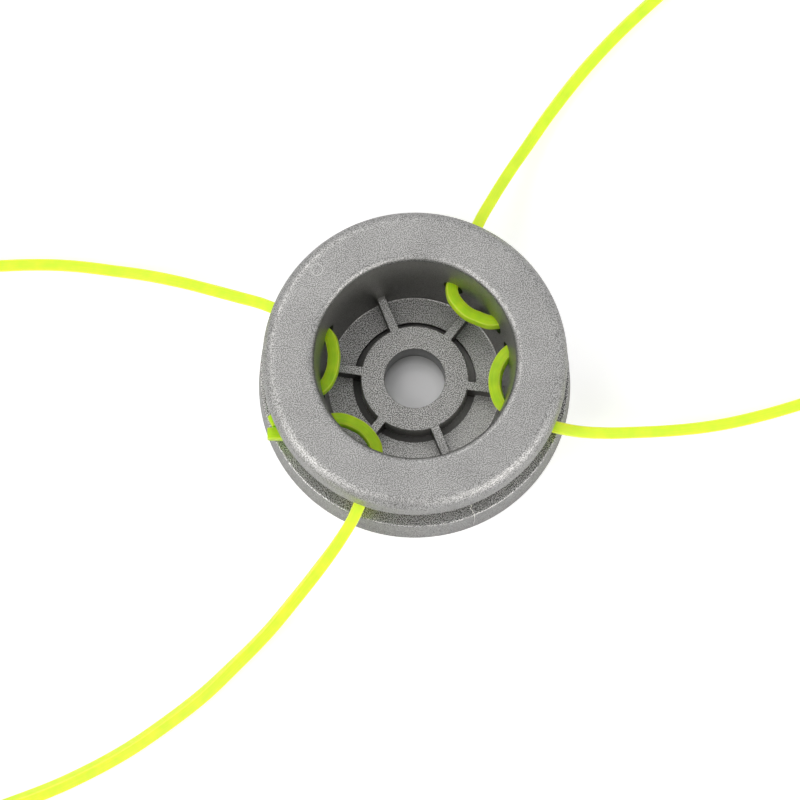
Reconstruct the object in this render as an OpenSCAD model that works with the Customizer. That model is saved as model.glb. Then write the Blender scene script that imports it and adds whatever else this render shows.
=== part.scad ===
// Line-cutter head for a petrol strimmer: a one-piece die-cast aluminium spool
// with four lengths of nylon cutting line looped through it.
// The head stands on its flat back, mouth up. Origin: bore axis at the back face.

/* [Flange] */
// Diameter of the flange at the back face, the widest place
flange_d = 83; // [82:0.5:90]
// Diameter of the flange at its upper rim
flange_rim_d = 82; // [78:0.5:82]
// Height of the flange above the back face
flange_h = 11.5; // [10.5:0.25:14]
// Rounding of the flange's back edge
flange_edge_r = 0.4; // [0.2:0.1:1.5]
// Rounding of the flange's upper rim
flange_rim_r = 0.5; // [0.1:0.1:1]

/* [Waist] */
// Diameter of the waist, at the bottom of the groove
waist_d = 59; // [57:0.5:68]
// Height of the groove between flange and ring
groove_h = 11; // [9:0.25:14]
// Fillets at the bottom of the groove
waist_fillet_r = 2; // [0.5:0.25:3]

/* [Ring] */
// Diameter of the ring above the groove
ring_d = 80; // [76:0.5:82]
// Height of the ring
ring_h = 9.5; // [7:0.25:12]
// Rounding of the ring's outer top edge
ring_round_r = 3.3; // [1.5:0.1:5]
// Rounding of the ring's lower edge
ring_edge_r = 0.4; // [0.2:0.1:1]
// Rounding of the lip round the mouth
lip_r = 1.9; // [0.5:0.1:2.5]

/* [Cup] */
// Diameter of the cup at its mouth, measured before the lip is rounded
mouth_d = 53.2; // [52:0.2:56]
// Diameter of the cup at its floor
floor_d = 46.4; // [46:0.2:50]
// Height of the cup's floor above the back face
floor_h = 3.5; // [3:0.25:5]
// Fillet between the cup's wall and floor
floor_fillet_r = 0.5; // [0.2:0.1:1.5]

/* [Hub] */
// Diameter of the hub
hub_d = 28.6; // [25:0.2:30]
// Height of the hub and ribs above the cup's floor
hub_h = 5; // [3:0.25:8]
// Bore for the drive shaft's adapter
bore_d = 16.2; // [10:0.1:20]
// Chamfer at both ends of the bore
bore_chamfer = 0.1; // [0.1:0.1:1]
// Chamfer of the hub's top edge
hub_edge = 0.2; // [0.1:0.1:0.8]
// Width of the sunk groove round the hub
moat_w = 2.1; // [1:0.1:3]
// Depth of the sunk groove below the cup's floor
moat_depth = 2.2; // [0.5:0.1:2.4]

/* [Ribs] */
// Number of ribs between hub and cup wall
rib_count = 6; // [6:6:12]
// Width of a rib where it leaves the hub
rib_w = 2.5; // [1.5:0.1:4]
// Width of a rib where it meets the cup wall
rib_tip_w = 2.3; // [1.5:0.1:4]
// Chamfer of a rib's two top edges
rib_edge = 0.15; // [0.1:0.05:0.7]
// Direction of the first rib, from the X axis
rib_angle = -7.7; // [-30:0.1:30]

/* [Line holes] */
// Diameter of the holes that the line passes through
hole_d = 5.6; // [4.8:0.1:6]
// Direction of the plane that the two near pairs of holes mirror about
hole_plane_angle = 21.5; // [-30:0.5:30]
// Angle between that plane and the middle of each pair
pair_spread = 27; // [24:0.5:30]
// Angle between a pair's middle and each of its two holes
hole_spread = 17.5; // [14:0.5:20]

/* [Cutting line] */
// Width of the square nylon line across its flats
line_w = 3; // [2:0.1:3.2]
// Bevel of the line's four corners
line_bevel = 0.25; // [0.1:0.05:0.5]

/* [Hidden] */

$fn = 180;
eps = 0.01;
// Steps in a quarter of a rounding
round_steps = 8;
// Rings of the line's mesh between two points of a route
rings_per_span = 2;

ring_z = flange_h + groove_h;
top_z = ring_z + ring_h;
hole_z = flange_h + groove_h / 2;
hub_z = floor_h + hub_h;
// Half angle of the cup wall's taper
cup_taper = atan((mouth_d - floor_d) / 2 / (top_z - floor_h));
rib_step = 360 / rib_count;
// Middles of the four pairs of holes: right, back, left and front
pair_angles = [for (turn = [0, 180], side = [-1, 1])
    hole_plane_angle + turn + side * pair_spread];

metal = "darkgray";
nylon = "greenyellow";

// Routes of the four lines, from the short end in the groove, through the cup,
// to the far end on the bench. Each is points of the line's centre.
route_right = [
    [35.6, 9.6, 17], [33.8, 8.1, 17], [31.6, 7, 17], [29.2, 6.5, 17], [26.9, 6.1, 17],
    [24.8, 5.1, 17], [23.3, 3.5, 17], [22.3, 1.8, 17], [21.6, 0, 17], [21.2, -2, 17],
    [21.2, -4.3, 17], [21.7, -6.6, 17], [22.6, -8.8, 17], [24.5, -10.4, 17],
    [27, -11.4, 17], [30, -12.7, 17], [34, -14.2, 17], [38.3, -15.2, 16.4],
    [43, -15.7, 14.9], [49.5, -15.6, 12.6], [58.5, -14.6, 9], [68.5, -13.2, 5.2],
    [78, -11.6, 2.8], [88, -9.4, 1.7], [98.5, -6.5, 1.6], [110, -2.5, 1.6],
    [121, 3, 1.6], [131, 10, 1.6], [140, 18.5, 1.6], [154.1, 38, 1.6]];
route_back = [
    [32.2, 19.2, 17], [30, 17.6, 17], [27.9, 16.2, 17], [25.8, 14.9, 17], [23.7, 13.9, 17],
    [21.6, 13.4, 17], [19.6, 13.3, 17], [17.9, 13.8, 17], [16.2, 14.5, 17],
    [14.4, 15.3, 17], [12.7, 16.6, 17], [11.2, 18.3, 17], [10, 20.3, 17],
    [9.7, 22.7, 17], [10.4, 25.1, 17], [11.9, 28.2, 17], [13.3, 31.8, 17],
    [14.9, 36, 16.8], [17, 41, 15.8], [20.5, 48.1, 12.5], [25, 56.5, 8.3],
    [30, 64.9, 4.6], [35.7, 74, 2.3], [41.5, 82, 1.6], [48, 90, 1.6],
    [54, 96.6, 1.6], [62, 104.5, 1.6], [71.5, 113, 1.6], [82.5, 121, 1.6],
    [103.8, 132.2, 1.6]];
route_left = [
    [-38, -14.1, 17], [-36, -13, 17], [-34.3, -11, 17], [-32.8, -8.8, 17],
    [-30.5, -7, 17], [-27.4, -6.1, 17], [-24.8, -5, 17], [-23.2, -3.4, 17],
    [-22.3, -1.6, 17], [-21.7, 0.2, 17], [-21.4, 2.2, 17], [-21.3, 4.2, 17],
    [-21.6, 6.3, 17], [-22.2, 8.6, 17], [-23.8, 10.5, 17], [-25.9, 11.5, 17],
    [-28.4, 12.3, 17], [-32, 14, 17], [-36, 16.3, 16.7], [-40.5, 18.4, 15.7],
    [-46, 20.5, 13.4], [-53.5, 23.4, 9.8], [-62, 26.5, 6], [-71, 29, 3.3],
    [-82, 30.9, 1.7], [-93, 32.1, 1.6], [-106, 32.2, 1.6], [-120, 31, 1.6],
    [-140, 26, 1.6], [-160.8, 16.8, 1.6]];
route_front = [
    [-38.7, -17.2, 17], [-35.2, -17.2, 17], [-32, -17.3, 17], [-28.9, -16.8, 17],
    [-26.3, -15.6, 17], [-23.9, -14.2, 17], [-21.6, -13.4, 17], [-19.5, -13.3, 17],
    [-17.8, -13.7, 17], [-16.1, -14.4, 17], [-14.4, -15.3, 17], [-12.8, -16.6, 17],
    [-11.4, -18.3, 17], [-10.3, -20.3, 17], [-10, -22.6, 17], [-10.4, -24.6, 17],
    [-11.4, -27.4, 17], [-12.6, -30.8, 17], [-14, -34.9, 16.8], [-16, -39.5, 16.1],
    [-19.5, -45, 14], [-25, -52, 10.2], [-31, -59, 6.4], [-38.5, -67.6, 3.2],
    [-46.5, -75.7, 1.7], [-55, -84, 1.6], [-65, -92, 1.6], [-75, -99, 1.6],
    [-90, -107.2, 1.6], [-112.1, -116.1, 1.6]];

// Points of an arc, from angle a0 to a1 about centre c
function arc(c, r, a0, a1) = [
    for (i = [0 : round_steps])
        let (a = a0 + (a1 - a0) * i / round_steps) [c[0] + r * cos(a), c[1] + r * sin(a)]
];

// Half of the casting's section, right of the axis: along the back face and
// flange, in round the waist, out round the ring, over the lip into the cup,
// down to its floor, the sunk groove, the hub and back down the bore.
module casting_section() {
    bore_r = bore_d / 2;
    hub_r = hub_d / 2;
    waist_r = waist_d / 2;
    ring_r = ring_d / 2;
    moat_r = hub_r + moat_w;
    moat_z = floor_h - moat_depth;
    // The lip's rounding and the floor's fillet meet the tapered wall at a tangent
    wall_tangent = tan((90 - cup_taper) / 2);
    lip_c = [mouth_d / 2 + lip_r * wall_tangent, top_z - lip_r];
    fillet_c = [floor_d / 2 - floor_fillet_r * wall_tangent, floor_h + floor_fillet_r];
    polygon(concat(
        [[bore_r + bore_chamfer, 0]],
        arc([flange_d / 2 - flange_edge_r, flange_edge_r], flange_edge_r, -90, 0),
        arc([flange_rim_d / 2 - flange_rim_r, flange_h - flange_rim_r], flange_rim_r, 0, 90),
        arc([waist_r + waist_fillet_r, flange_h + waist_fillet_r], waist_fillet_r, 270, 180),
        arc([waist_r + waist_fillet_r, ring_z - waist_fillet_r], waist_fillet_r, 180, 90),
        arc([ring_r - ring_edge_r, ring_z + ring_edge_r], ring_edge_r, -90, 0),
        arc([ring_r - ring_round_r, top_z - ring_round_r], ring_round_r, 0, 90),
        arc(lip_c, lip_r, 90, 180 - cup_taper),
        arc(fillet_c, floor_fillet_r, -cup_taper, -90),
        [[moat_r, floor_h], [moat_r, moat_z], [hub_r, moat_z]],
        [[hub_r, hub_z - hub_edge], [hub_r - hub_edge, hub_z]],
        [[bore_r + bore_chamfer, hub_z], [bore_r, hub_z - bore_chamfer], [bore_r, bore_chamfer]]
    ));
}

// One rib along +X, from inside the hub's wall to inside the cup's wall
module rib() {
    start = (bore_d + hub_d) / 4;
    end = (floor_d + waist_d) / 4;
    foot_z = floor_h - moat_depth - eps;
    height = hub_z - foot_z;
    hull() {
        translate([start, 0, foot_z]) rib_slice(rib_w, height);
        translate([end, 0, foot_z]) rib_slice(rib_tip_w, height);
    }
}

// Thin upright slice of a rib, with chamfered top edges
module rib_slice(width, height) {
    side = width / 2;
    rotate([90, 0, 90])
        linear_extrude(eps)
            polygon([[-side, 0], [side, 0], [side, height - rib_edge], [side - rib_edge, height],
                [rib_edge - side, height], [-side, height - rib_edge]]);
}

// The spool: turned section, ribs, and the drilled pairs of line holes
module head_casting() {
    color(metal)
        difference() {
            union() {
                rotate_extrude() casting_section();
                for (i = [0 : rib_count - 1])
                    rotate(rib_angle + i * rib_step) rib();
            }
            for (middle = pair_angles, side = [-1, 1])
                rotate(middle + side * hole_spread) line_hole();
        }
}

// Radial hole through the waist, from the cup to the groove
module line_hole() {
    start = floor_d / 2 - hole_d / 2;
    translate([start, 0, hole_z])
        rotate([0, 90, 0])
            cylinder(d = hole_d, h = waist_d / 2 + waist_fillet_r - start);
}

// Direction of a route at point i, weighted by the length of the spans beside it
function route_heading(p, i) =
    i == 0 ? (p[1] - p[0]) / norm(p[1] - p[0]) :
    i == len(p) - 1 ? (p[i] - p[i - 1]) / norm(p[i] - p[i - 1]) :
    let (before = p[i] - p[i - 1], after = p[i + 1] - p[i])
    let (a = norm(before), b = norm(after))
    (before / a * b + after / b * a) / (a + b);

// Point at share t of the smooth curve between points i and i + 1
function span_point(p, i, t) =
    let (reach = norm(p[i + 1] - p[i]))
    let (h0 = route_heading(p, i) * reach, h1 = route_heading(p, i + 1) * reach)
    p[i] * (2 * pow(t, 3) - 3 * t * t + 1) + h0 * (pow(t, 3) - 2 * t * t + t)
    + p[i + 1] * (3 * t * t - 2 * pow(t, 3)) + h1 * (pow(t, 3) - t * t);

// Smooth centre line through all points of a route
function centre_line(p) = concat(
    [for (i = [0 : len(p) - 2], k = [0 : rings_per_span - 1]) span_point(p, i, k / rings_per_span)],
    [p[len(p) - 1]]
);

// Corners of the line's section, a square with bevelled corners
line_section =
    let (half = line_w / 2, cut = line_w / 2 - line_bevel)
    [[half, cut], [cut, half], [-cut, half], [-half, cut],
     [-half, -cut], [-cut, -half], [cut, -half], [half, -cut]];

// The section's corners set upright across point i of a centre line
function line_ring(c, i) =
    let (ahead = c[min(i + 1, len(c) - 1)] - c[max(i - 1, 0)])
    let (across = cross(ahead, [0, 0, 1]))
    let (side = across / norm(across))
    let (over = cross(side, ahead / norm(ahead)))
    [for (corner = line_section) c[i] + corner[0] * side + corner[1] * over];

// Square bar swept along a route, closed by a flat cut at each end
module cutting_line(route) {
    c = centre_line(route);
    n = len(line_section);
    rings = len(c);
    color(nylon)
        polyhedron(
            points = [for (i = [0 : rings - 1]) each line_ring(c, i)],
            faces = concat(
                [[for (k = [0 : n - 1]) n - 1 - k]],
                [for (i = [0 : rings - 2], k = [0 : n - 1])
                    [i * n + k, i * n + (k + 1) % n, (i + 1) * n + (k + 1) % n, (i + 1) * n + k]],
                [[for (k = [0 : n - 1]) (rings - 1) * n + k]]
            )
        );
}

module line_left() { cutting_line(route_left); }
module line_back() { cutting_line(route_back); }
module line_right() { cutting_line(route_right); }
module line_front() { cutting_line(route_front); }

head_casting();
line_left();
line_back();
line_right();
line_front();
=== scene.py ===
# Line-cutter head for a petrol strimmer: a one-piece die-cast aluminium spool, mouth up, with four
# lengths of neon nylon line looped through it. Lengths are in metres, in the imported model's frame.
import math

import bpy
from mathutils import Matrix, Vector


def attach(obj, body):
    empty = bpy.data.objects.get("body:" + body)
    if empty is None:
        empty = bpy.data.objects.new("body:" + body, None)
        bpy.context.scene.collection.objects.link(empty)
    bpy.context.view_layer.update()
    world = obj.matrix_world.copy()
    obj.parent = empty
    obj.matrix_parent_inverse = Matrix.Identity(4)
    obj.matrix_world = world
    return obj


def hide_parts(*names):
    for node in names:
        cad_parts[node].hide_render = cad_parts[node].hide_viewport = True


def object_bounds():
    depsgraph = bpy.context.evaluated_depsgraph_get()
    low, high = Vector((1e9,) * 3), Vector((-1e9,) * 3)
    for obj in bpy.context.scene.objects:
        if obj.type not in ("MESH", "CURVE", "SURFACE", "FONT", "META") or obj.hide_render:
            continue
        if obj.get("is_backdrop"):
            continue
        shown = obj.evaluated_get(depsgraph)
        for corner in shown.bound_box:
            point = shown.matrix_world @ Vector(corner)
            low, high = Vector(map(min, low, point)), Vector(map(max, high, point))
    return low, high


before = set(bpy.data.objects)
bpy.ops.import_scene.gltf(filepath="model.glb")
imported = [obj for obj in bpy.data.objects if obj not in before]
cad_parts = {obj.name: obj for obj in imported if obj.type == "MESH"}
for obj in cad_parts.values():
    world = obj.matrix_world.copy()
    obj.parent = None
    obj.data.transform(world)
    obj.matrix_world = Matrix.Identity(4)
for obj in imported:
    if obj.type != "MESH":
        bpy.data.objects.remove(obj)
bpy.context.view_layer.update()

# Camera
# The photograph looks steeply down on the open mouth through a long lens. The middle of the ring
# shows a little right of the picture's centre and above it.
PICTURE_SIDE = 800
RING_MIDDLE = Vector((0, 0, 0.02265))
RING_PIXEL = (414.88, 366.04)
PIXELS_PER_METRE = 3806
VIEW_DISTANCE = 1.5
VIEW_TILT = math.radians(12.86)
VIEW_ROLL = math.radians(0.22)
SENSOR_MM = 36

forward = Vector((0, math.sin(VIEW_TILT), -math.cos(VIEW_TILT)))
level_right = Vector((1, 0, 0))
level_up = level_right.cross(forward)
right = level_right * math.cos(VIEW_ROLL) + level_up * math.sin(VIEW_ROLL)
up = level_up * math.cos(VIEW_ROLL) - level_right * math.sin(VIEW_ROLL)
aside, below = ((pixel - PICTURE_SIDE / 2) / PIXELS_PER_METRE for pixel in RING_PIXEL)
eye = RING_MIDDLE - forward * VIEW_DISTANCE - right * aside + up * below

camera = bpy.data.objects.new("camera", bpy.data.cameras.new("camera"))
camera.data.sensor_width = SENSOR_MM
camera.data.lens = SENSOR_MM * PIXELS_PER_METRE * VIEW_DISTANCE / PICTURE_SIDE
camera.data.clip_start = 0.05
camera.matrix_world = Matrix.Translation(eye) @ Matrix((right, up, -forward)).transposed().to_4x4()
bpy.context.scene.collection.objects.link(camera)
bpy.context.scene.camera = camera


# Cutting lines
# Four lengths of square extruded nylon line, each pushed through one hole of a pair into the cup
# and out through the other. The short end stays in the groove; the long end lies on the bench.
LINE_WIDTH = 0.0031
LINE_CORNER = 0.00028
LINE_FLAT = LINE_WIDTH / 2 - LINE_CORNER
CORNER_STEPS = 3
RING_GAP = 0.0008
END_BEVEL = 0.0001
STREAK_GRAIN = 0.00025
STREAK_SQUEEZE = (1, 1, 0.03)
STREAK_DEPTH = 0.00006
CLOUD_GRAIN = 0.004
# Distances along a line between which it comes out of the head's shade
SHADE_ENDS = (0.041, 0.045)

# Route points, from the short end to the far end
ROUTES = {
    "left": [
        (-0.038, -0.0141, 0.017), (-0.036, -0.013, 0.017), (-0.0343, -0.011, 0.017),
        (-0.0328, -0.0088, 0.017), (-0.0305, -0.007, 0.017), (-0.0274, -0.0061, 0.017),
        (-0.0248, -0.005, 0.017), (-0.0232, -0.0034, 0.017), (-0.0223, -0.0016, 0.017),
        (-0.0217, 0.0002, 0.017), (-0.0214, 0.0022, 0.017), (-0.0213, 0.0042, 0.017),
        (-0.0216, 0.0063, 0.017), (-0.0222, 0.0086, 0.017), (-0.0238, 0.0105, 0.017),
        (-0.0259, 0.0115, 0.017), (-0.0284, 0.0123, 0.017), (-0.032, 0.014, 0.017),
        (-0.036, 0.0163, 0.0167), (-0.0405, 0.0184, 0.0157), (-0.046, 0.0205, 0.0134),
        (-0.0535, 0.0234, 0.0098), (-0.062, 0.0265, 0.006), (-0.071, 0.029, 0.0033),
        (-0.082, 0.0309, 0.0017), (-0.093, 0.0321, 0.0016), (-0.106, 0.0322, 0.0016),
        (-0.12, 0.031, 0.0016), (-0.14, 0.026, 0.0016), (-0.1608, 0.0168, 0.0016),
    ],
    "back": [
        (0.0322, 0.0192, 0.017), (0.03, 0.0176, 0.017), (0.0279, 0.0162, 0.017),
        (0.0258, 0.0149, 0.017), (0.0237, 0.0139, 0.017), (0.0216, 0.0134, 0.017),
        (0.0196, 0.0133, 0.017), (0.0179, 0.0138, 0.017), (0.0162, 0.0145, 0.017),
        (0.0144, 0.0153, 0.017), (0.0127, 0.0166, 0.017), (0.0112, 0.0183, 0.017),
        (0.01, 0.0203, 0.017), (0.0097, 0.0227, 0.017), (0.0104, 0.0251, 0.017),
        (0.0119, 0.0282, 0.017), (0.0133, 0.0318, 0.017), (0.0149, 0.036, 0.0168),
        (0.017, 0.041, 0.0158), (0.0205, 0.0481, 0.0125), (0.025, 0.0565, 0.0083),
        (0.03, 0.0649, 0.0046), (0.0357, 0.074, 0.0023), (0.0415, 0.082, 0.0016),
        (0.048, 0.09, 0.0016), (0.054, 0.0966, 0.0016), (0.062, 0.1045, 0.0016),
        (0.0715, 0.113, 0.0016), (0.0825, 0.121, 0.0016), (0.1038, 0.1322, 0.0016),
    ],
    "right": [
        (0.0356, 0.0096, 0.017), (0.0338, 0.0081, 0.017), (0.0316, 0.007, 0.017),
        (0.0292, 0.0065, 0.017), (0.0269, 0.0061, 0.017), (0.0248, 0.0051, 0.017),
        (0.0233, 0.0035, 0.017), (0.0223, 0.0018, 0.017), (0.0216, 0, 0.017),
        (0.0212, -0.002, 0.017), (0.0212, -0.0043, 0.017), (0.0217, -0.0066, 0.017),
        (0.0226, -0.0088, 0.017), (0.0245, -0.0104, 0.017), (0.027, -0.0114, 0.017),
        (0.03, -0.0127, 0.017), (0.034, -0.0142, 0.017), (0.0383, -0.0152, 0.0164),
        (0.043, -0.0157, 0.0149), (0.0495, -0.0156, 0.0126), (0.0585, -0.0146, 0.009),
        (0.0685, -0.0132, 0.0052), (0.078, -0.0116, 0.0028), (0.088, -0.0094, 0.0017),
        (0.0985, -0.0065, 0.0016), (0.11, -0.0025, 0.0016), (0.121, 0.003, 0.0016),
        (0.131, 0.01, 0.0016), (0.14, 0.0185, 0.0016), (0.1541, 0.038, 0.0016),
    ],
    "front": [
        (-0.0387, -0.0172, 0.017), (-0.0352, -0.0172, 0.017), (-0.032, -0.0173, 0.017),
        (-0.0289, -0.0168, 0.017), (-0.0263, -0.0156, 0.017), (-0.0239, -0.0142, 0.017),
        (-0.0216, -0.0134, 0.017), (-0.0195, -0.0133, 0.017), (-0.0178, -0.0137, 0.017),
        (-0.0161, -0.0144, 0.017), (-0.0144, -0.0153, 0.017), (-0.0128, -0.0166, 0.017),
        (-0.0114, -0.0183, 0.017), (-0.0103, -0.0203, 0.017), (-0.01, -0.0226, 0.017),
        (-0.0104, -0.0246, 0.017), (-0.0114, -0.0274, 0.017), (-0.0126, -0.0308, 0.017),
        (-0.014, -0.0349, 0.0168), (-0.016, -0.0395, 0.0161), (-0.0195, -0.045, 0.014),
        (-0.025, -0.052, 0.0102), (-0.031, -0.059, 0.0064), (-0.0385, -0.0676, 0.0032),
        (-0.0465, -0.0757, 0.0017), (-0.055, -0.084, 0.0016), (-0.065, -0.092, 0.0016),
        (-0.075, -0.099, 0.0016), (-0.09, -0.1072, 0.0016), (-0.1121, -0.1161, 0.0016),
    ],
}
# How far each line is rolled about itself, in degrees, at distances from its short end
TWISTS = {
    "left": [(0.02, 4), (0.028, 9), (0.05, 13.5), (0.062, 16.5), (0.08, 13.3), (0.18, 12.5)],
    "back": [(0.014, -9), (0.028, -6), (0.07, -8), (0.1, -14), (0.13, -19), (0.18, -20)],
    "right": [(0.014, -13), (0.044, -10), (0.06, -13.8), (0.12, -12), (0.18, -8)],
    "front": [(0, -2), (0.022, 6), (0.056, 7), (0.068, 16), (0.098, 21), (0.116, 33), (0.18, 40)],
}


def route_headings(points):
    """The curve's direction at each point, leaning towards the shorter span beside it."""
    spans = [after - before for before, after in zip(points, points[1:])]
    turns = [
        (a.normalized() * b.length + b.normalized() * a.length) / (a.length + b.length)
        for a, b in zip(spans, spans[1:])
    ]
    return [spans[0].normalized(), *turns, spans[-1].normalized()]


def smooth_route(points):
    """Closely spaced places on the smooth curve through the route's points."""
    headings = route_headings(points)
    places = []
    for start, end, leaving, arriving in zip(points, points[1:], headings, headings[1:]):
        reach = (end - start).length
        steps = max(2, math.ceil(reach / RING_GAP))
        for step in range(steps):
            t = step / steps
            places.append(
                start * (2 * t**3 - 3 * t**2 + 1)
                + leaving * (reach * (t**3 - 2 * t**2 + t))
                + end * (3 * t**2 - 2 * t**3)
                + arriving * (reach * (t**3 - t**2))
            )
    return [*places, points[-1]]


def roll_at(twist, travelled):
    """The line's roll in radians at a distance from its short end."""
    low = max((pair for pair in twist if pair[0] <= travelled), default=twist[0])
    high = min((pair for pair in twist if pair[0] > travelled), default=twist[-1])
    if high[0] <= low[0]:
        return math.radians(low[1])
    share = min(1, max(0, (travelled - low[0]) / (high[0] - low[0])))
    return math.radians(low[1] + share * (high[1] - low[1]))


def line_outline(inset=0.0):
    """Corners of the square line's rounded section, as (sideways, upwards) of its middle."""
    outline = []
    for quarter, (side, over) in enumerate(((1, 1), (-1, 1), (-1, -1), (1, -1))):
        for step in range(CORNER_STEPS + 1):
            angle = (quarter + step / CORNER_STEPS) * math.pi / 2
            reach = LINE_CORNER - inset
            across = side * LINE_FLAT + reach * math.cos(angle)
            outline.append((across, over * LINE_FLAT + reach * math.sin(angle)))
    return outline


def sweep_line(name, places, twist):
    """A square bar along the places, rolled by its twist, with a flat cut at each end. Where it
    lies on the bench, it rests on its lowest corner. Each vertex keeps its place in the section."""
    vertices, in_section = [], []
    last = len(places) - 1
    travelled = 0.0
    for i, place in enumerate(places):
        travelled += (place - places[max(i - 1, 0)]).length
        ahead = (places[min(i + 1, last)] - places[max(i - 1, 0)]).normalized()
        side = ahead.cross(Vector((0, 0, 1))).normalized()
        over = side.cross(ahead)
        roll = roll_at(twist, travelled)
        half_height = LINE_FLAT * (abs(math.cos(roll)) + abs(math.sin(roll))) + LINE_CORNER
        middle = Vector((place.x, place.y, max(place.z, half_height)))
        rolled_side = side * math.cos(roll) + over * math.sin(roll)
        rolled_over = over * math.cos(roll) - side * math.sin(roll)
        for across, upwards in line_outline(END_BEVEL if i in (0, last) else 0.0):
            vertices.append(middle + rolled_side * across + rolled_over * upwards)
            in_section.append((across, upwards, travelled))
    n = len(line_outline())
    faces = [
        (i * n + k, i * n + (k + 1) % n, (i + 1) * n + (k + 1) % n, (i + 1) * n + k)
        for i in range(last)
        for k in range(n)
    ]
    faces += [tuple(reversed(range(n))), tuple(last * n + k for k in range(n))]
    mesh = bpy.data.meshes.new(name)
    mesh.from_pydata(vertices, [], faces)
    mesh.polygons.foreach_set("use_smooth", [True] * (len(faces) - 2) + [False] * 2)
    section = mesh.attributes.new("in_section", "FLOAT_VECTOR", "POINT")
    section.data.foreach_set("vector", [x for corner in in_section for x in corner])
    line = bpy.data.objects.new(name, mesh)
    bpy.context.scene.collection.objects.link(line)
    return line


# The nylon is the first finish drawn by nodes. A Number is one value that varies over a surface,
# and sums on it add Math nodes. A Finish is a material, and its add() makes any other node.
class Number:
    def __init__(self, finish, socket):
        self.finish = finish
        self.socket = socket

    def math(self, operation, *others, clamp=False):
        settings = {"operation": operation, "use_clamp": clamp}
        values = dict(enumerate((self, *others)))
        return self.finish.number("ShaderNodeMath", settings, values)

    def __add__(self, other):
        return self.math("ADD", other)

    def __sub__(self, other):
        return self.math("SUBTRACT", other)

    def __rsub__(self, other):
        return self.math("MULTIPLY", -1).math("ADD", other)

    def __mul__(self, other):
        return self.math("MULTIPLY", other)

    def __truediv__(self, other):
        return self.math("DIVIDE", other)

    def __gt__(self, other):
        return self.math("GREATER_THAN", other)

    def __lt__(self, other):
        return self.math("LESS_THAN", other)

    def __abs__(self):
        return self.math("ABSOLUTE")

    __radd__ = __add__
    __rmul__ = __mul__

    def clear_between(self, low, high):
        """0 below low, 1 above high, with a straight slope between."""
        return ((self - low) / (high - low)).math("MULTIPLY", 1, clamp=True)


class Finish:
    def __init__(self, owner):
        owner.use_nodes = True
        self.tree = owner.node_tree
        self.tree.nodes.clear()

    def add(self, kind, settings, sockets):
        node = self.tree.nodes.new(kind)
        for name, value in settings.items():
            setattr(node, name, value)
        for name, value in sockets.items():
            value = value.socket if isinstance(value, Number) else value
            if isinstance(value, bpy.types.NodeSocket):
                self.tree.links.new(value, node.inputs[name])
            else:
                node.inputs[name].default_value = value
        return node

    def number(self, kind, settings, sockets, output=0):
        return Number(self, self.add(kind, settings, sockets).outputs[output])

    def noise(self, place, grain, detail=2.0):
        """Smooth noise whose bumps are about grain metres across."""
        sockets = {"Vector": place, "Scale": 1 / grain, "Detail": detail}
        return self.number("ShaderNodeTexNoise", {}, sockets)

    def blend(self, share, low, high):
        """Mixes two colours by a number. A Mix node's colours are its sockets 6 and 7."""
        sockets = {0: share, 6: low, 7: high}
        return self.add("ShaderNodeMix", {"data_type": "RGBA"}, sockets).outputs[2]

    def surface(self, shader):
        self.add("ShaderNodeOutputMaterial", {}, {"Surface": shader.outputs[0]})


def neon_nylon():
    """Fluorescent yellow-green nylon, with fine streaks left by the extruder, and a painted
    highlight on its corners. Painted light: the lengths outside the head glow a little, as if lit,
    and those in its shade hardly glow."""
    material = bpy.data.materials.new("neon_nylon")
    nylon = Finish(material)
    section = nylon.add("ShaderNodeAttribute", {"attribute_name": "in_section"}, {})
    squeezed = nylon.add(
        "ShaderNodeVectorMath",
        {"operation": "MULTIPLY"},
        {0: section.outputs["Vector"], 1: STREAK_SQUEEZE},
    ).outputs[0]
    streaks = nylon.noise(squeezed, STREAK_GRAIN, detail=3)
    cloud = nylon.noise(section.outputs["Vector"], CLOUD_GRAIN)
    shade = (streaks * 0.4 + cloud * 0.6).clear_between(0.35, 0.65)
    parts = nylon.add("ShaderNodeSeparateXYZ", {}, {"Vector": section.outputs["Vector"]})
    across, upwards, along = (Number(nylon, parts.outputs[axis]) for axis in "XYZ")
    # Painted highlight: the rounded corners are painted paler
    corner = (abs(across) > LINE_FLAT) * (abs(upwards) > LINE_FLAT)
    colour = nylon.blend(shade, (0.49, 0.79, 0.02, 1), (0.68, 0.935, 0.03, 1))
    colour = nylon.blend(corner * 0.5, colour, (0.75, 1, 0.16, 1))
    # Painted light: a glow on the lengths outside the head, and almost none in its shade
    painted_light_share = along.clear_between(*SHADE_ENDS)
    glow = nylon.blend(painted_light_share, (0.004, 0.02, 0.001, 1), (0.35, 0.33, 0.035, 1))
    sockets = {"Strength": 0.25, "Distance": STREAK_DEPTH, "Height": streaks}
    bump = nylon.add("ShaderNodeBump", {}, sockets)
    plastic = nylon.add(
        "ShaderNodeBsdfPrincipled",
        {},
        {
            "Base Color": colour,
            "Roughness": streaks * 0.15 + 0.36,
            "Normal": bump.outputs[0],
            "Subsurface Weight": 1.0,
            "Subsurface Radius": (0.0015, 0.002, 0.0003),
            "Subsurface Scale": 1.0,
            "Emission Color": glow,
            "Emission Strength": 1.0,
            "IOR": 1.3,
        },
    )
    nylon.surface(plastic)
    return material


nylon_finish = neon_nylon()
for side, points in ROUTES.items():
    path = smooth_route([Vector(point) for point in points])
    line = sweep_line(f"nylon_line_{side}", path, TWISTS[side])
    line.data.materials.append(nylon_finish)
    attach(line, "root")
    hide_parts(f"line_{side}")
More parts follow.
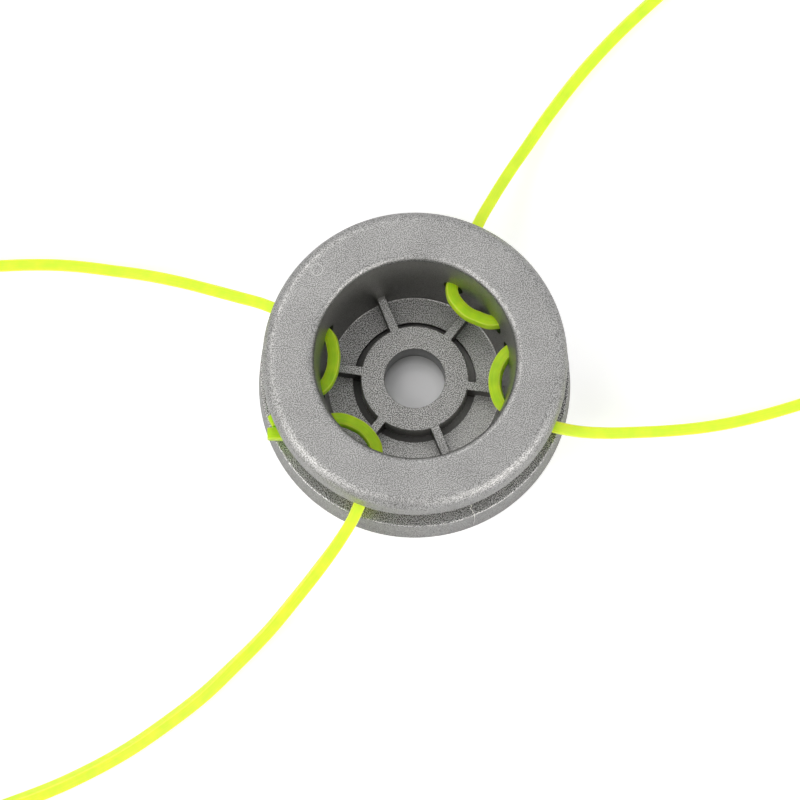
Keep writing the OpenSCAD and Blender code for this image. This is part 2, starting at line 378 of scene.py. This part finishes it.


# Spool casting
# One pressure die casting in aluminium, tumbled but not machined: a dull grey skin with a fine
# bright and dark grain. Painted shade darkens the hollows, and painted light lifts the side of the
# hub.
CUP_FLOOR = 0.0035
RIB_TOP = 0.0085
FOOT_RADIUS = 0.0232
WALL_TOP = 0.0302
WALL_RADIUS = 0.0275
MOAT_INNER = 0.0143
MOAT_OUTER = 0.0164
BORE_RADIUS = 0.0081
GROOVE_LOW = 0.0115
GROOVE_HIGH = 0.0225
FLANGE_RADIUS = 0.0407
FOOT_LINE_WIDTH = 0.0002
FOOT_LINE_TOP = 0.0043
PIN_MARK = (-0.0258, 0.0237, 0.032)
PIN_MARK_INNER = 0.0014
PIN_MARK_OUTER = 0.0017
WEAR_AND_HIGHLIGHT_SHARE = 0.3
SOFT_EDGE = 0.00015
GRAIN = 0.00025
COARSE_GRAIN = 0.0012
PATCH = 0.011
GRAIN_DEPTH = 0.00003
# Heights between which the cup's wall gets lighter, as its painted shade fades
WALL_LIGHTENS = (0.008, 0.028)
# Distances to the side, from a line left of the axis, between which painted shade darkens the groove
GROOVE_ENDS = (0.033, 0.044)
GROOVE_SHIFT = 0.006


def cast_aluminium():
    """Dull cast skin, in another tone on each part of the casting, with painted shade and painted
    light on some parts.
    """
    material = bpy.data.materials.new("cast_aluminium")
    metal = Finish(material)
    place = metal.add("ShaderNodeTexCoord", {}, {}).outputs["Object"]
    axes = metal.add("ShaderNodeSeparateXYZ", {}, {"Vector": place})
    x, y, z = (Number(metal, axes.outputs[axis]) for axis in "XYZ")
    radius = (x * x + y * y).math("SQRT")

    def inside(value, low, high):
        return (value > low) * (value < high)

    # 1 where the named part of the casting lies
    cup_wall = inside(radius, FOOT_RADIUS - SOFT_EDGE, WALL_RADIUS) * (z < WALL_TOP)
    cup_floor = (radius < FOOT_RADIUS) * inside(z, SOFT_EDGE, RIB_TOP + SOFT_EDGE)
    moat = inside(radius, MOAT_INNER, MOAT_OUTER) * inside(z, SOFT_EDGE, CUP_FLOOR - SOFT_EDGE)
    rib_sides = inside(z, CUP_FLOOR + SOFT_EDGE, RIB_TOP - SOFT_EDGE) * (radius < FOOT_RADIUS)
    bore = (radius < BORE_RADIUS + SOFT_EDGE) * (z < RIB_TOP - SOFT_EDGE)
    # Painted shade: the moat and the rib sides get a dark skin
    shaded = moat.math("MAXIMUM", rib_sides)
    hub_side = (radius < MOAT_INNER) * inside(z, SOFT_EDGE, RIB_TOP - SOFT_EDGE)
    groove = inside(z, GROOVE_LOW - SOFT_EDGE, GROOVE_HIGH) * (radius < FLANGE_RADIUS)
    sockets = {0: place, 1: PIN_MARK}
    from_pin = metal.number("ShaderNodeVectorMath", {"operation": "DISTANCE"}, sockets, "Value")
    pin_ring = inside(from_pin, PIN_MARK_INNER, PIN_MARK_OUTER)
    # The pin's ring is a wear mark; the bright line round the wall's foot is a painted highlight
    foot = inside(radius, FOOT_RADIUS - FOOT_LINE_WIDTH, FOOT_RADIUS) * (z < FOOT_LINE_TOP)
    pin_wear_and_foot_highlight = pin_ring.math("MAXIMUM", foot) * WEAR_AND_HIGHLIGHT_SHARE

    # The grain of the skin, and how light each part of it is. Painted light makes the floor lighter
    # towards the right and the front, and the moat towards the right; painted shade darkens the
    # groove's ends and the deep of the cup.
    grain = metal.noise(place, GRAIN, detail=1)
    coarse = metal.noise(place, COARSE_GRAIN)
    patches = metal.noise(place, PATCH, detail=3)
    speckle = (grain * 0.93 + coarse * 0.07).clear_between(0.42, 0.58)
    tone = speckle * 0.75 + patches * 0.25
    groove_grain_and_painted_shade = speckle - abs(x + GROOVE_SHIFT).clear_between(*GROOVE_ENDS) * 0.3
    floor_grain_and_painted_light = tone + x * 5 - y * 3
    wall_grain_and_painted_shade = z.clear_between(*WALL_LIGHTENS) * 0.7 + tone * 0.3
    shaded_tone = patches + x * 30
    open_skin = metal.blend(tone, (0.12, 0.119, 0.116, 1), (0.5, 0.496, 0.491, 1))
    groove_skin = metal.blend(groove_grain_and_painted_shade, (0.02, 0.019, 0.017, 1), (0.78, 0.775, 0.76, 1))
    floor_skin = metal.blend(floor_grain_and_painted_light, (0.05, 0.049, 0.046, 1), (0.6, 0.595, 0.585, 1))
    hub_skin = metal.blend(tone, (0.03, 0.029, 0.027, 1), (0.55, 0.545, 0.535, 1))
    # Painted light: the side of the hub is painted lighter than the skin, to lift its shade
    hub_side_painted_light = metal.blend(tone, (0.5, 0.495, 0.485, 1), (0.7, 0.69, 0.675, 1))
    wall_skin = metal.blend(wall_grain_and_painted_shade, (0.115, 0.113, 0.108, 1), (0.41, 0.405, 0.39, 1))
    shaded_skin = metal.blend(shaded_tone, (0.08, 0.078, 0.076, 1), (0.19, 0.186, 0.18, 1))
    # Painted shade: the bore's wall is painted darker towards its top
    bore_painted_shade = z.clear_between(0, RIB_TOP)
    bore_skin = metal.blend(bore_painted_shade, (0.3, 0.3, 0.3, 1), (0.15, 0.15, 0.15, 1))
    colour = metal.blend(groove, open_skin, groove_skin)
    colour = metal.blend(cup_floor, colour, floor_skin)
    colour = metal.blend(cup_floor * (z > CUP_FLOOR + SOFT_EDGE), colour, hub_skin)
    colour = metal.blend(cup_wall, colour, wall_skin)
    colour = metal.blend(shaded, colour, shaded_skin)
    colour = metal.blend(hub_side, colour, hub_side_painted_light)
    colour = metal.blend(bore, colour, bore_skin)
    colour = metal.blend(pin_wear_and_foot_highlight, colour, (0.7, 0.69, 0.68, 1))
    sockets = {"Strength": 0.5, "Distance": GRAIN_DEPTH, "Height": speckle}
    bump = metal.add("ShaderNodeBump", {}, sockets)
    skin = metal.add(
        "ShaderNodeBsdfPrincipled",
        {},
        {
            "Base Color": colour,
            "Metallic": 1.0,
            "Roughness": patches * 0.1 - speckle * 0.1 + 0.45 + cup_floor * 0.1 - cup_wall * 0.05,
            "Normal": bump.outputs[0],
        },
    )
    metal.surface(skin)
    return material


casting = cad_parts["head_casting"]
casting.data.materials.clear()
casting.data.materials.append(cast_aluminium())


# Mould flash
# A torn film of metal where the two side slides of the mould met. It is left as a wavy thread
# across the flange, from under the ring to the edge, and as a faint one down the flange's side.
FLASH_STANDS = 0.00016
FLASH_ROOT = 0.00004
TORN_GRAIN = 0.0006
# Radius, height and azimuth in degrees of the thread's places, with its width there
FLASH = [
    (0.0374, 0.0115, -66.9, 0.00034),
    (0.038, 0.0115, -66.8, 0.0004),
    (0.0384, 0.0115, -66.9, 0.00036),
    (0.0387, 0.0115, -67.5, 0.0004),
    (0.0391, 0.0115, -67.5, 0.0003),
    (0.0394, 0.0115, -67.1, 0.00034),
    (0.0399, 0.0115, -67.3, 0.00026),
    (0.0403, 0.0115, -67.0, 0.00032),
    (0.0409, 0.0115, -67.3, 0.00022),
    (0.0414, 0.0112, -67.4, 0.00012),
    (0.0415, 0.0106, -67.5, 0.00012),
    (0.0415, 0.0082, -67.3, 0.00012),
    (0.0415, 0.0055, -67.7, 0.0001),
    (0.0415, 0.002, -67.6, 0.00008),
]


def torn_metal():
    """Bright metal where the film broke off."""
    material = bpy.data.materials.new("torn_metal")
    metal = Finish(material)
    place = metal.add("ShaderNodeTexCoord", {}, {}).outputs["Object"]
    patches = metal.noise(place, TORN_GRAIN)
    colour = metal.blend(patches, (0.8, 0.79, 0.77, 1), (0.95, 0.94, 0.92, 1))
    sockets = {"Base Color": colour, "Metallic": 1.0, "Roughness": patches * 0.2 + 0.3}
    metal.surface(metal.add("ShaderNodeBsdfPrincipled", {}, sockets))
    return material


def flash_thread():
    """A ridge of three sides along the flash's places."""
    vertices = []
    for i, (radius, height, azimuth, width) in enumerate(FLASH):
        angle = math.radians(azimuth)
        outwards = Vector((math.cos(angle), math.sin(angle), 0))
        across = Vector((-math.sin(angle), math.cos(angle), 0))
        before, after = FLASH[max(i - 1, 0)], FLASH[min(i + 1, len(FLASH) - 1)]
        run, drop = after[0] - before[0], before[1] - after[1]
        normal = (outwards * drop + Vector((0, 0, run))).normalized()
        place = outwards * radius + Vector((0, 0, height)) - normal * FLASH_ROOT
        vertices += [place - across * width / 2, place + across * width / 2]
        vertices.append(place + normal * (FLASH_STANDS * width / FLASH[0][3] + FLASH_ROOT))
    last = len(FLASH) - 1
    faces = [
        (3 * i + k, 3 * i + (k + 1) % 3, 3 * i + (k + 1) % 3 + 3, 3 * i + k + 3)
        for i in range(last)
        for k in range(3)
    ]
    faces += [(2, 1, 0), (3 * last, 3 * last + 1, 3 * last + 2)]
    mesh = bpy.data.meshes.new("mould_flash")
    mesh.from_pydata(vertices, [], faces)
    return mesh


flash = bpy.data.objects.new("mould_flash", flash_thread())
flash.data.materials.append(torn_metal())
bpy.context.scene.collection.objects.link(flash)
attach(flash, "root")


# Bench and light
# A pale bench with a white room round it. Two soft lights stand low in front, left and right, as
# the bright arcs on the ring's edge show. A third stands high at the far left and lights the bore.
BENCH_SIDE = 6.0
BENCH_GLOW = 0.6
# Distances from the bore's axis: up to the first the bench is under the head, and up to the second
# the head keeps light off it
UNDER_HEAD = 0.02
BESIDE_HEAD = 0.07
# The brightest place of the bench in the bore, and distances from it over which the glow fades and
# the far-left rim gets darker
BORE_LIGHT = (0.0001, -0.0017, 0)
GLOW_FADE = (0.0052, 0.0096)
RIM_FADE = (0.0075, 0.0092)
# Degrees, metres and watts
LIGHTS = {
    "front_left": {"azimuth": -146, "elevation": 34, "width": 0.38, "height": 0.8, "watts": 2.8},
    "front_right": {"azimuth": -47, "elevation": 23, "width": 0.62, "height": 0.56, "watts": 2.6},
    "far_left": {"azimuth": 130, "elevation": 52, "width": 0.3, "height": 0.3, "watts": 0.8},
}
LIGHT_DISTANCE = 0.7
LIGHT_COLOUR = (1, 0.985, 0.95)
ROOM_GLOW = 0.29


def on_rays(finish, *kinds):
    """1 on rays of the named kinds."""
    light_path = finish.add("ShaderNodeLightPath", {}, {})
    first, *others = (Number(finish, light_path.outputs[f"Is {kind} Ray"]) for kind in kinds)
    for other in others:
        first = first.math("MAXIMUM", other)
    return first


def bench_paint():
    """Matt white paint that glows, but less where the head shades it: painted shade. Down in the
    bore, a painted pool of light fades, and the far-left part is painted darkest."""
    material = bpy.data.materials.new("bench_paint")
    paint = Finish(material)
    place = paint.add("ShaderNodeTexCoord", {}, {}).outputs["Object"]
    from_axis = paint.number("ShaderNodeVectorMath", {"operation": "LENGTH"}, {0: place}, "Value")
    sockets = {0: place, 1: BORE_LIGHT}
    from_light = paint.number("ShaderNodeVectorMath", {"operation": "DISTANCE"}, sockets, "Value")
    in_bore = 1 - from_light.clear_between(*GLOW_FADE)
    # Painted shade: the paint is darker round the bore's far-left rim
    far_rim = from_light.clear_between(*RIM_FADE) * (from_axis < UNDER_HEAD)
    seen = (from_axis > UNDER_HEAD) + in_bore * 0.27
    mirrored = from_axis.clear_between(UNDER_HEAD, BESIDE_HEAD) * 0.85 + in_bore * 0.4
    white = paint.blend(far_rim, (0.8, 0.8, 0.82, 1), (0.56, 0.56, 0.57, 1))
    share = seen * on_rays(paint, "Camera") + mirrored * on_rays(paint, "Glossy", "Transmission")
    flat = paint.add(
        "ShaderNodeBsdfPrincipled",
        {},
        {"Base Color": white, "Roughness": 0.9, "Specular IOR Level": 0.0},
    )
    glow = paint.add("ShaderNodeEmission", {}, {"Strength": BENCH_GLOW})
    both = paint.add("ShaderNodeAddShader", {}, {0: flat.outputs[0], 1: glow.outputs[0]})
    sockets = {0: share, 1: flat.outputs[0], 2: both.outputs[0]}
    paint.surface(paint.add("ShaderNodeMixShader", {}, sockets))
    return material


half = BENCH_SIDE / 2
bench_mesh = bpy.data.meshes.new("bench")
bench_mesh.from_pydata(
    [(-half, -half, 0), (half, -half, 0), (half, half, 0), (-half, half, 0)], [], [(0, 1, 2, 3)]
)
bench_mesh.materials.append(bench_paint())
bench = bpy.data.objects.new("bench", bench_mesh)
bpy.context.scene.collection.objects.link(bench)
bench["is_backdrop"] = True

for name, lamp in LIGHTS.items():
    azimuth, elevation = math.radians(lamp["azimuth"]), math.radians(lamp["elevation"])
    away = Vector((
        math.cos(azimuth) * math.cos(elevation),
        math.sin(azimuth) * math.cos(elevation),
        math.sin(elevation),
    ))
    light = bpy.data.lights.new(name, "AREA")
    light.shape = "RECTANGLE"
    light.size = lamp["width"]
    light.size_y = lamp["height"]
    light.energy = lamp["watts"]
    light.color = LIGHT_COLOUR
    holder = bpy.data.objects.new(name, light)
    holder.location = RING_MIDDLE + away * LIGHT_DISTANCE
    holder.rotation_euler = away.to_track_quat("Z", "Y").to_euler()
    bpy.context.scene.collection.objects.link(holder)

room = bpy.data.worlds.new("room")
air = Finish(room)
direction = air.add("ShaderNodeTexCoord", {}, {}).outputs["Generated"]
axes = air.add("ShaderNodeSeparateXYZ", {}, {"Vector": direction})
east, north, high = (Number(air, axes.outputs[axis]) for axis in "XYZ")
seen = on_rays(air, "Camera")
mirrored = on_rays(air, "Glossy", "Transmission")
# The camera sees plain white. The room that metal mirrors is lightest at the back and high up, and
# the one that lights matt things is lightest at the back and low down.
brightness = (
    seen
    + mirrored * (north * 0.24 + east * 0.09 + high * 0.14 + 0.86)
    + (1 - seen - mirrored) * (north * 0.8 - high * 0.6 + 1.3) * ROOM_GLOW
)
sky = air.add("ShaderNodeBackground", {}, {"Color": (1, 1, 1, 1), "Strength": brightness})
air.add("ShaderNodeOutputWorld", {}, {"Surface": sky.outputs[0]})
bpy.context.scene.world = room

bpy.context.scene.view_settings.view_transform = "Standard"

low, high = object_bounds()
